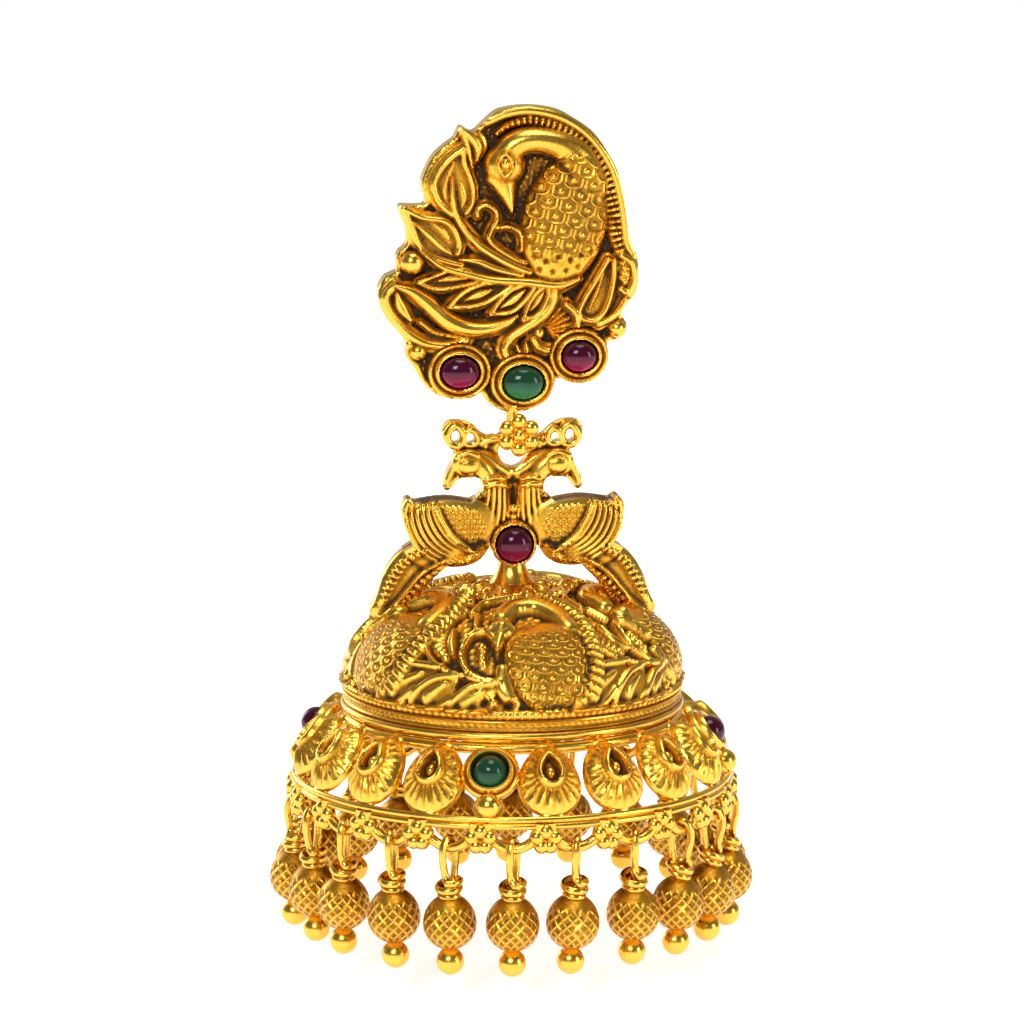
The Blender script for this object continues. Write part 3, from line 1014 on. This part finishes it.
# chased lines of one motif: (distance round the widest circle, arc length up), half width, height,
# height they start from, spacing of the grooves across
DOME_LINES = [
    ([(4.2, 12.5), (6.4, 11.9), (7.7, 10.7), (8.45, 9.2), (8.6, 7.16), (8.1, 4.85), (7.45, 2.77),
      (6.6, 0.96), (5.6, -0.1)], 0.8, 0.85, 0.35, 0.66),
    ([(-6.02, 9.31), (-5.3, 11.33), (-0.36, 12.6), (1.4, 12.7)], 0.3, 0.55, 0.15, 0),
    ([(-7.59, 10.83), (-10.5, 9.93), (-10.9, 7.87), (-9.35, 5.41), (-7.45, 3.58), (-5.42, 2.74),
      (-3.37, 2.32), (-1.57, 1.96)], 0.26, 0.75, 0.1, 0),
    ([(-7.6, 9.6), (-9.0, 8.01), (-8.2, 5.76), (-6.2, 3.9)], [0.5, 0.95, 0.9, 0.4], 0.45, 0.15, 0.55),
    ([(-6.7, 6.75), (-6.2, 5.2), (-5.3, 3.92)], [0.2, 0.42, 0.15], 0.6, 0.15, 0),
    ([(-1.32, 5.22), (-2.89, 6.74), (-4.34, 6.34), (-4.78, 4.64), (-4.05, 3.06), (-2.63, 2.3), (-1.0, 2.1)],
     0.28, 0.8, 0.1, 0),
    ([(-4.9, 8.98), (-4.3, 7.3)], [0.35, 0.25], 0.6, 0.1, 0),
    ([(-3.01, 5.27), (-2.65, 3.55)], [0.4, 0.3], 0.5, 0.1, 0.5),
    ([(-6.3, 3.1), (-9.4, 3.0), (-11.3, 1.7), (-12.1, 0.4), (-11.3, -0.3), (-9.8, 0.0), (-8.4, 1.1)],
     0.36, 0.7, 0.1, 0),
    ([(-8.0, 2.35), (-10.1, 1.4), (-10.8, 0.5)], [0.25, 0.62, 0.45], 0.62, 0.1, 0),
    ([(-4.6, 2.5), (-6.6, 2.1), (-8.1, 1.0), (-8.5, 0.0), (-7.6, -0.4), (-6.1, -0.1), (-5.0, 0.6)],
     0.36, 0.7, 0.1, 0),
    ([(-5.6, 1.8), (-6.9, 0.9), (-7.1, 0.2)], [0.25, 0.62, 0.45], 0.62, 0.1, 0),
    ([(-1.6, 2.0), (-3.5, 1.6), (-4.8, 0.5), (-5.0, -0.2), (-4.0, -0.45), (-2.7, -0.2), (-1.5, 0.5)],
     0.36, 0.7, 0.1, 0),
    ([(-2.4, 1.4), (-3.7, 0.6), (-3.9, 0.0)], [0.25, 0.62, 0.45], 0.62, 0.1, 0),
    ([(6.7, 7.0), (6.3, 9.1), (3.9, 10.6), (0.2, 10.3), (-1.5, 8.6)], [0.9, 0.95, 0.9, 0.9, 0.85],
     0.85, 0.3, 0),
    ([(-1.2, 6.4), (-1.35, 5.2), (-1.3, 4.2)], [0.55, 0.36, 0.1], 0.7, 0.3, 0),
    ([(-0.9, 3.2), (-0.6, 1.6), (0.2, 0.4)], [0.5, 0.7, 0.5], 0.45, 0.2, 0),
]
# outlines that are filled
DOME_PETALS = [DOME_LINES[k][0] for k in (8, 10, 12)]
# a bird's scaled body: middle, half width, half length, lean
DOME_BODY = (3.45, 3.9, 3.65, 4.3, -8)
# pits beside the collar: distance round; and balls: distance round, distance up and radius
DOME_PITS = [6.35, 8.1, -0.1, -2.15]
DOME_BALLS = [(-9.05, 4.55, 0.45), (-12.75, 0.9, 0.5), (8.75, 2.9, 0.4), (7.2, 0.0, 0.45), (-1.1, 0.0, 0.4),
              (-0.9, 7.9, 0.25)]

# bands of the collar: distance below the widest circle, half width, height, number of teeth, how
# much of it is cut away between them, and their slant
COLLAR_BANDS = [
    (0.5, 0.32, 0.34, 148, 0.55, 0.0),
    (1.02, 0.14, 0.2, 0, 0.0, 0.0),
    (1.36, 0.17, 0.17, 150, 0.7, 9.0),
    (1.7, 0.14, 0.2, 0, 0.0, 0.0),
    (2.25, 0.36, 0.36, 0, 0.0, 0.0),
]
CROWN_PROFILE = [(0, 9.4), (4.2, 9.8), (3.9, 10.02), (3.4, 10.12), (2.7, 10.35), (2.1, 10.6), (1.7, 10.72),
                 (0, 10.75)]
# the crown's beads: how many, half sizes, lean, distance from the axis and height over the collar
CROWN_BEADS = [
    (36, (0.4, 0.62, 0.42), 0, 4.45, 10.02),
    (10, (0.45, 0.85, 0.32), 18, 2.75, 10.45),
]


def dome_height(u, v, squeeze):
    """Relief over the dome; u is the distance round the widest circle from the nearest motif's middle."""
    chased = Relief(u, v, 0.0, squeeze)
    chased.height += grain(chased.u * chased.squeeze, chased.v, 0.5, 0.06, 5)
    for shift in (-MOTIF_ROUND, 0.0, MOTIF_ROUND):
        for petal in DOME_PETALS:
            chased.fill(curve_through(petal, 0.3, True) + (shift, 0), 0.42)
        for points, width, high, base, rib in DOME_LINES:
            chased.stroke([(a + shift, b) for a, b in points], width, high, base, rib=rib, rib_depth=0.5)
        chased.dome(DOME_BODY[0] + shift, *DOME_BODY[1:], 1.0, 0.25, blunt=0.6)
        chased.dome(-1.2 + shift, 7.0, 1.15, 1.1, 0, 0.95, 0.3)        # head
        chased.dome(-1.15 + shift, 7.1, 0.45, 0.5, 0, 0.4, 1.05)       # eye
        for a, b, r in DOME_BALLS:
            chased.dome(a + shift, b, r * 1.15, r * 1.15, 0, r * 0.7, 0.05)
        for a in DOME_PITS:
            chased.sink(a + shift, 0.35, 0.5, 0.6)
    # low beside the collar, so that nothing juts out over it
    limit = np.maximum(0.72 + 0.4 * chased.v, 0.6)
    return (limit * np.tanh(chased.height / limit)).reshape(u.shape)


def collar_height(turn, v):
    high = 0
    for down, half, rise, teeth, cut, slant in COLLAR_BANDS:
        tooth = 0.5 + 0.5 * np.cos(turn * teeth + v * slant)
        high = high + rise * ridge((v + down) / half) * (1 - cut + cut * tooth)
    return high


def dome_forms():
    per_motif = DOME_COLS // MOTIFS
    v, r, z, lean = (DOME_ROWS[:, k:k + 1] for k in range(4))
    shape = (len(DOME_ROWS), per_motif)
    u = np.broadcast_to(((np.arange(per_motif) + 0.5) / per_motif - 0.5) * MOTIF_ROUND, shape)
    relief = dome_height(u, np.broadcast_to(v, shape), np.broadcast_to(r / DOME_R, shape))
    high = np.tile(np.where(v > -0.5, relief, 0.0), (1, MOTIFS))
    # a motif's middle lies half a motif after column 0
    angle = MOTIF_TURN - math.pi / MOTIFS + (np.arange(DOME_COLS) + 0.5) * 2 * math.pi / DOME_COLS
    high = np.where(v < 0, np.maximum(collar_height(angle, v), high * share((v + 0.6) * 3)), high)
    r = r + high * np.cos(lean)
    z = z + high * np.sin(lean)
    top = DOME_ROWS[-1, 2]
    hollow = [(HOLLOW_R * math.cos(t), DOME_RISE + HOLLOW_H * math.sin(t)) for t in np.linspace(1.45, 0, 7)]
    hollow += [(BORE_R, 2.6), (BORE_R, 0.05), (COLLAR_R - 0.35, 0.0)]
    inner_r, inner_z = (column[:, None] for column in np.array(hollow).T)
    r, z = np.concatenate([inner_r + 0 * angle, r]), np.concatenate([inner_z + 0 * angle, z])
    rings = np.stack([r * np.sin(angle), -r * np.cos(angle), z], -1).reshape(-1, 3)
    foot = np.array([0, AXIS_Y, COLLAR_Z])
    poles = np.array([[0, 0, 9.35], [0, 0, top]])
    forms = [closed_rings(rings + foot, DOME_COLS, poles + foot, True), turned(CROWN_PROFILE, 60, foot)]
    for count, sizes, slope, out, up in CROWN_BEADS:
        for k in range(count):
            bead = small_ball((0, 0, 0), 1.0)
            bead.transform(Matrix.Diagonal((*sizes, 1)))
            bead.transform(Matrix.Rotation(math.radians(slope), 4, "X"))
            bead.transform(Matrix.Translation((0, -out * MM, up * MM)))
            turn = Matrix.Rotation(2 * math.pi * (k + 0.5) / count, 4, "Z")
            bead.transform(Matrix.Translation(Vector(foot) * MM) @ turn)
            forms.append(bead)
    return forms


def dome_scales(co, normal):
    """Scales on the five birds' bodies."""
    x, y = co[:, 0], co[:, 1] - AXIS_Y
    angle = np.arctan2(x, -y) - MOTIF_TURN
    angle -= np.round(angle * MOTIFS / (2 * math.pi)) * 2 * math.pi / MOTIFS
    v = np.interp(co[:, 2] - COLLAR_Z, DOME_ROWS[:, 2], DOME_ROWS[:, 0])
    squeeze = np.interp(v, DOME_ROWS[:, 0], DOME_ROWS[:, 1]) / DOME_R
    u0, v0, a, b, turn = DOME_BODY
    where = scale_place((angle * DOME_R - u0) * squeeze, v - v0, (a * 0.98, b * 0.98), turn, 1.35, 0.9)
    outside = normal[:, 0] * x + normal[:, 1] * y > 0
    where[:, 2] *= outside * (v > 0)
    return where


finish(join_forms("bell_dome_chased", dome_forms()), GOLD, "drop", ["bell_dome"],
       wear=(14, 0.12), scales=dome_scales)


# ---- what repeats round the drop ----------------------------------------------------------------
def repeat_tree():
    """Geometry Nodes tree that stands a piece round the drop's axis, evenly or in even groups, each
    copy leaning and turning a little at random about its own pivot."""
    tree = bpy.data.node_groups.new("repeat round the drop", "GeometryNodeTree")
    kinds = {"Object": ["Piece"], "Material": ["Finish"], "Int": ["Count", "In a group", "Seed"],
             "Float": ["Step in a group", "Step of the groups", "First turn", "Radius", "Height", "Axis Y",
                       "Lean", "Twist"]}
    for kind, names in kinds.items():
        for name in names:
            tree.interface.new_socket(name, in_out="INPUT", socket_type="NodeSocket" + kind)
    tree.interface.new_socket("Geometry", in_out="OUTPUT", socket_type="NodeSocketGeometry")
    given = add_node(tree, "NodeGroupInput").outputs
    maths = adder(tree)
    index = add_node(tree, "GeometryNodeInputIndex").outputs[0]
    group = maths("FLOOR", maths("DIVIDE", index, given["In a group"]))
    within = maths("SUBTRACT", index, maths("MULTIPLY", group, given["In a group"]))
    turn = maths("MULTIPLY_ADD", group, given["Step of the groups"], given["First turn"])
    turn = maths("MULTIPLY_ADD", within, given["Step in a group"], turn)
    x = maths("MULTIPLY", maths("SINE", turn), given["Radius"])
    y = maths("SUBTRACT", given["Axis Y"], maths("MULTIPLY", maths("COSINE", turn), given["Radius"]))
    place = add_node(tree, "ShaderNodeCombineXYZ", {0: x, 1: y, 2: given["Height"]}).outputs[0]
    points = add_node(tree, "GeometryNodePoints", {"Count": given["Count"], "Position": place})
    loose = add_node(tree, "FunctionNodeRandomValue", {
        0: (-1, -1, -1), 1: (1, 1, 1), "ID": index, "Seed": given["Seed"]}, data_type="FLOAT_VECTOR")
    each = add_node(tree, "ShaderNodeSeparateXYZ", {0: loose.outputs[0]}).outputs
    rotation = add_node(tree, "ShaderNodeCombineXYZ", {
        0: maths("MULTIPLY", each[0], given["Lean"]), 1: maths("MULTIPLY", each[1], given["Lean"]),
        2: maths("MULTIPLY_ADD", each[2], given["Twist"], turn)}).outputs[0]
    piece = add_node(tree, "GeometryNodeObjectInfo", {"Object": given["Piece"]})
    copies = add_node(tree, "GeometryNodeInstanceOnPoints", {
        "Points": points.outputs[0], "Instance": piece.outputs["Geometry"], "Rotation": rotation})
    real = add_node(tree, "GeometryNodeRealizeInstances", {"Geometry": copies.outputs[0]})
    coated = add_node(tree, "GeometryNodeSetMaterial", {
        "Geometry": real.outputs[0], "Material": given["Finish"]})
    add_node(tree, "NodeGroupOutput", {"Geometry": coated.outputs[0]})
    return tree


ROUND_THE_DROP = repeat_tree()


def stand_round(name, forms, nodes, sizes, wear, material=GOLD, ground=None, net=None):
    """Finish one plain mesh of a piece, modelled at the front about its pivot, repeated round the drop."""
    piece = join_forms(name + " one", forms)
    smooth_and_wear(piece.data, 45.0, wear, ground)
    if net:
        net(piece.data)
    host = add_object(name + " host", bpy.data.meshes.new(name + " host"))
    modifier = host.modifiers.new("repeat", "NODES")
    modifier.node_group = ROUND_THE_DROP
    values = {"Piece": piece, "Finish": material, "Axis Y": AXIS_Y * MM, "In a group": 1, "Seed": 7}
    values.update(sizes)
    for socket in ROUND_THE_DROP.interface.items_tree:
        if socket.in_out == "INPUT" and socket.name in values:
            modifier[socket.identifier] = values[socket.name]
    ready = host.evaluated_get(bpy.context.evaluated_depsgraph_get())
    mesh = bpy.data.meshes.new_from_object(ready)
    mesh.name = name
    made = add_object(name, mesh)
    for spare in (host, piece):
        bpy.data.objects.remove(spare)
    finish(made, material, "drop", nodes)


# ---- the skirt ----------------------------------------------------------------------------------
SKIRT_DROP = 5.7
NECK_R = 14.0
RIM_R = 18.4
SKIRT_LEAN = math.atan2(RIM_R - NECK_R, SKIRT_DROP)
MIDDLE_R = (RIM_R + NECK_R) / 2 + 0.15
MIDDLE_Z = COLLAR_Z - SKIRT_DROP / 2
RIM_Z = COLLAR_Z - SKIRT_DROP
SCALLOP_R = 2.15
DROPS = 22
STONE_TURN = math.radians(-12.0)
SHELL_STEP = math.radians(19.0)
FIRST_SHELL = STONE_TURN + (math.pi / 2 - 3 * SHELL_STEP) / 2
DROP_TURN = math.radians(-5.7)
SHELL_HALF = (2.56, 3.12)
CUP_OUT = 0.5             # a stone's setting lies this far out of the slope and above its middle
CUP_UP = 0.55
CUP_BALL_DOWN = 2.25
SKIRT_STONE_R = 1.45
SKIRT_STONE_RISE = 1.75
SHELL_EYE = curve_through([(0, 1.95), (0.62, 1.25), (0.92, 0.35), (0.68, -0.5), (0, -0.85), (-0.68, -0.5),
                           (-0.92, 0.35), (-0.62, 1.25)], 0.15, True)
CUP_PROFILE = [(0, -0.55), (2.1, -0.5), (2.32, -0.3), (2.4, 0.0), (2.34, 0.3), (2.18, 0.42), (2.02, 0.34),
               (1.96, 0.26), (1.93, 0.5), (1.88, 0.78), (1.77, 0.92), (1.62, 0.92), (1.52, 0.78),
               (1.48, 0.4), (1.47, -0.1), (0, -0.12)]
CUP_BUTTON = [(0, -0.1), (1.22, -0.05), (1.3, 0.1), (1.22, 0.25), (0, 0.3)]
CLUSTER_SPOTS = [(0, -0.66), (-0.74, -1.14), (0.74, -1.14), (-0.36, -1.86), (0.36, -1.86)]


def on_slope(out=0.0, down=0.0):
    """Matrix from the skirt's slope (x along it, y up it, z outwards) to the front of the drop, in mm."""
    up = Vector((0, math.sin(SKIRT_LEAN), math.cos(SKIRT_LEAN)))
    normal = Vector((0, -math.cos(SKIRT_LEAN), math.sin(SKIRT_LEAN)))
    columns = (Vector((1, 0, 0)), up, normal, normal * out - up * down)
    matrix = Matrix.Identity(4)
    for k, column in enumerate(columns):
        matrix.col[k][:3] = column
    return matrix


def laid(form, matrix):
    """Move a mesh by a matrix whose shifts are in mm."""
    moved = matrix.copy()
    moved.translation *= MM
    form.transform(moved)
    return form


def shell_form():
    """Egg-shaped shell: ribs that spread from a raised drop-shaped eye, hollow behind."""
    cols, rows, back = 72, 34, 7
    turn = np.arange(cols) * 2 * math.pi / cols
    out = np.linspace(0.02, 1, rows)[:, None]
    x, y = SHELL_HALF[0] * out * np.cos(turn), SHELL_HALF[1] * out * np.sin(turn)
    x = x * (1 - 0.05 * y)
    from_eye = distance_to_loop(x, y, SHELL_EYE)
    high = 1.6 * np.sqrt(share(1 - out ** 2.3)) + 0 * x
    ribs = share((from_eye - 0.3) / 0.3) * share((0.97 - out) / 0.05)
    high -= 0.2 * ribs * (0.5 + 0.5 * np.cos(np.arctan2(x, y - 0.2) * 22))
    high += 0.42 * ridge(from_eye / 0.3)
    high -= 0.55 * share(-from_eye / 0.18 - 0.6)
    high += 0.5 * ridge(np.hypot(x / 0.42, (y - 0.3) / 0.62))
    high[-1] = -0.05
    inner = np.linspace(0.94, 0.05, back)[:, None]
    behind_x, behind_y = 2.05 * inner * np.cos(turn), 2.7 * inner * np.sin(turn)
    behind = 0.95 * np.sqrt(1 - inner ** 2) - 0.12 + 0 * behind_x
    pairs = ((x, behind_x), (y, behind_y), (high, behind))
    rings = np.stack([np.concatenate(pair) for pair in pairs], -1).reshape(-1, 3)
    return closed_rings(rings, cols, [[0, 0, high[0].mean()], [0, 0, 0.83]], True)


def pad(x, y, z, a, b, c):
    """Flattened round pad, such as the solder join between a shell and a ring."""
    form = small_ball((0, 0, 0), 1.0, 16)
    form.transform(Matrix.Diagonal((a, b, c, 1)))
    return laid(form, Matrix.Translation((x, y, z)))


def shell_forms():
    return [laid(form, on_slope()) for form in (
        shell_form(), pad(0, 2.75, -0.15, 1.0, 0.9, 0.42), pad(0, -2.8, 0.0, 1.1, 0.7, 0.4))]


def cup_forms():
    """Double-ringed round setting on its bar, with a ball on a button below."""
    return [laid(turned(CUP_PROFILE, 56), on_slope(CUP_OUT, -CUP_UP)),
            laid(pad(0, 0, 0, 0.8, 3.1, 0.3), on_slope()),
            laid(small_ball((0, -CUP_BALL_DOWN, 0.35), 1.08, 28), on_slope()),
            laid(turned(CUP_BUTTON, 28), on_slope(0.0, CUP_BALL_DOWN))]


def scallop_forms():
    """Half ring of stout wire that hangs from the rim."""
    return [tube(ring_path(SCALLOP_R, 29, start=180, end=360, upright=True), 0.43, 12)]


def cluster_forms():
    """Small balls where two scallops meet."""
    balls = [small_ball((x, -0.2, z), 0.66, 16) for x, z in CLUSTER_SPOTS]
    return balls + [pad(0, 0.05, -1.0, 0.75, 0.25, 0.85)]


def ring_wires():
    """The skirt's two rings; the lower one is a pair of wires."""
    wires = [(NECK_R, COLLAR_Z - 0.56, 120, 0.5), (RIM_R, RIM_Z + 0.27, 176, 0.3),
             (RIM_R + 0.05, RIM_Z - 0.27, 176, 0.3)]
    return [tube(ring_path(r, count, (0, AXIS_Y, z)), wire, 10, True) for r, z, count, wire in wires]


IN_FOURS = {"Step of the groups": math.pi / 2, "Radius": MIDDLE_R * MM, "Height": MIDDLE_Z * MM}
SHELLS = {**IN_FOURS, "Count": 16, "In a group": 4, "Step in a group": SHELL_STEP,
          "First turn": FIRST_SHELL, "Twist": 0.02}
CUPS = {**IN_FOURS, "Count": 4, "First turn": STONE_TURN}
SCALLOPS = {"Count": DROPS, "Step of the groups": 2 * math.pi / DROPS, "Radius": (RIM_R - 0.05) * MM,
            "First turn": DROP_TURN, "Height": RIM_Z * MM, "Twist": 0.05}
CLUSTERS = {**SCALLOPS, "First turn": DROP_TURN + math.pi / DROPS, "Twist": 0.0, "Lean": 0.06}

finish(join_forms("skirt_ring_wires", ring_wires()), GOLD, "drop", ["skirt"],
       wear=(10, 0.2))
stand_round("skirt_shells", shell_forms(), ["skirt"], SHELLS, (12, 0.14))
stand_round("skirt_stone_cups", cup_forms(), ["skirt"], CUPS, (12, 0.14))
stand_round("skirt_scallops", scallop_forms(), ["skirt"], SCALLOPS, (8, 0.14))
stand_round("skirt_ball_clusters", cluster_forms(), ["skirt"], CLUSTERS, (8, 0.14))

for k, node in enumerate(["skirt_emerald", "skirt_ruby_right", "skirt_ruby_back", "skirt_ruby_left"]):
    turn = Matrix.Rotation(STONE_TURN + k * math.pi / 2, 4, "Z")
    slope = on_slope(CUP_OUT, -CUP_UP)
    slope.translation = (slope.translation + Vector((0, -MIDDLE_R, MIDDLE_Z))) * MM
    oval_stone(node + "_stone", (0, AXIS_Y, 0), SKIRT_STONE_R, SKIRT_STONE_R, SKIRT_STONE_RISE,
               RUBY if k else EMERALD, "drop", turn @ slope)


# ---- the small drops ----------------------------------------------------------------------------
HANG_Z = RIM_Z - SCALLOP_R          # lowest point of a scallop, where a pin hangs
BEAD_MIDDLE = -6.15                 # heights below are from there
BEAD_NET = 15                       # diamonds round a bead
BEAD_NET_RISE = 0.9                 # height of a diamond
# the wire of a pin, from the ball head up through the bead and over the scallop
PIN_LINE = [(0, 0, -9.2), (0, 0, -7.0), (0, 0, -5.0), (0.1, 0.1, -4.0), (0.05, 0.38, -3.0),
            (0, 0.62, -2.0), (0, 0.78, -0.9), (0, 0.76, -0.1), (0, 0.48, 0.55), (0, 0, 0.76),
            (0, -0.48, 0.55), (0, -0.76, -0.1), (0, -0.78, -0.9), (0, -0.6, -1.9), (0.15, -0.52, -2.5)]
PIN_COLLAR = [(0, -8.52), (0.5, -8.5), (0.62, -8.38), (0.5, -8.24), (0, -8.2)]


def pin_forms():
    """Long eye over the scallop, two loose wraps, and the ball head under the bead."""
    t = np.linspace(0.0, 2.25, 22)
    angle, r = 2 * math.pi * t - 1.1, 0.8 + 0.12 * np.sin(2.3 * t)
    wraps = np.stack([r * np.cos(angle), r * np.sin(angle), -2.72 - 0.6 * t + 0.2 * np.sin(angle)], -1)
    wire = tube(curve_through(np.concatenate([PIN_LINE, wraps]), 0.26), 0.31, 8)
    return [wire, small_ball((0, 0, -9.43), 1.14, 32), turned(PIN_COLLAR, 20)]


def bead_form():
    """Egg-shaped bead."""
    t = np.linspace(0, math.pi, 33)
    profile = np.stack([2.17 * np.sin(t) * (1 - 0.05 * np.cos(t)), 2.3 * np.cos(t)], -1)
    return turned(profile, 56, (0, 0, BEAD_MIDDLE))


def bead_top(co, normal):
    """The upper part of a bead keeps more patina."""
    return 0.25 * share((co[:, 2] - BEAD_MIDDLE - 1.0) / 0.9)


def bead_net(mesh):
    """Where the corners of each face lie in the diamond net that covers the middle and lower part."""
    co = points_and_normals(mesh)[0]
    at = np.zeros(len(mesh.loops), np.int32)
    mesh.loops.foreach_get("vertex_index", at)
    face = np.repeat(np.arange(len(mesh.polygons)), [p.loop_total for p in mesh.polygons])
    turn = np.arctan2(co[at, 1], co[at, 0]) / (2 * math.pi)
    first = np.full(len(mesh.polygons), -1.0)
    np.maximum.at(first, face, turn)
    turn = np.where(first[face] - turn > 0.5, turn + 1, turn)
    high = co[at, 2] - BEAD_MIDDLE
    shown = share((1.45 - high) / 0.4) * share((high + 2.15) / 0.2)
    store(mesh, "chasing", np.stack([turn * BEAD_NET, high / BEAD_NET_RISE + 20, shown], -1), "CORNER")


HANGING = {**SCALLOPS, "Height": HANG_Z * MM, "Lean": 0.055, "Twist": 0.7}
PIN_NODES = [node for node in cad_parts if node.startswith("drop_pin")]
BEAD_NODES = [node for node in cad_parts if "bead" in node]
stand_round("drop_pins_wrapped", pin_forms(), PIN_NODES, HANGING, (8, 0.14))
stand_round("drop_beads_netted", [bead_form()], BEAD_NODES, HANGING, (2, 0.3), GOLD_BEAD, bead_top,
            bead_net)


# ---- studio -------------------------------------------------------------------------------------
WHITE = linear("#FFFFFF")
# soft lamps: name, place, height of the point they face, width, height and power
LAMPS = [
    ("key", (-550, -1300, 850), -25, 520, 520, 12.5),
    ("fill", (1250, -850, 200), -30, 350, 900, 7),
    ("top", (100, -150, 1400), -30, 700, 700, 8),
    ("back", (-900, 1200, 350), -30, 500, 900, 7),
]
FLOOR_HALF = 1500.0
FLOOR_Z = -61.5


def light_studio():
    """Soft lamps in a white room that the metal sees darker in front than behind."""
    for name, place, aim_z, width, height, power in LAMPS:
        data = bpy.data.lights.new(name, "AREA")
        data.shape = "RECTANGLE"
        data.size, data.size_y = width * MM, height * MM
        data.energy = power
        put_and_aim(add_object(name, data), Vector(place), Vector((0, 0, aim_z)))
    scene = bpy.context.scene
    scene.view_settings.view_transform = "Standard"
    scene.world = bpy.data.worlds.new("studio")
    tree = new_tree(scene.world)
    place = add_node(tree, "ShaderNodeTexCoord").outputs["Generated"]
    side = add_node(tree, "ShaderNodeSeparateXYZ", {0: place}).outputs["Y"]
    strength = spread(tree, side, -0.1, 0.9, 0.14, 0.55)
    around = add_node(tree, "ShaderNodeBackground", {"Color": WHITE, "Strength": strength})
    seen = add_node(tree, "ShaderNodeBackground", {"Color": WHITE, "Strength": 1.0})
    to_camera = add_node(tree, "ShaderNodeLightPath").outputs["Is Camera Ray"]
    pick = add_node(tree, "ShaderNodeMixShader", {0: to_camera, 1: around.outputs[0], 2: seen.outputs[0]})
    add_node(tree, "ShaderNodeOutputWorld", {"Surface": pick.outputs[0]})


def lay_floor():
    corners = [(x * FLOOR_HALF, y * FLOOR_HALF, FLOOR_Z) for x, y in ((-1, -1), (1, -1), (1, 1), (-1, 1))]
    ground = add_object("floor", mesh_from(corners, np.array([[0, 1, 2, 3]])))
    material = bpy.data.materials.new("white paper")
    shaded(new_tree(material), {
        "Base Color": linear("#F7F6F3"), "Roughness": 0.9, "Emission Color": WHITE,
        "Emission Strength": 0.72})
    ground.data.materials.append(material)


light_studio()
lay_floor()

# the plain nodes that are still seen
for node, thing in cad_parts.items():
    if not thing.hide_render:
        thing.data.materials.clear()
        thing.data.materials.append(GOLD)
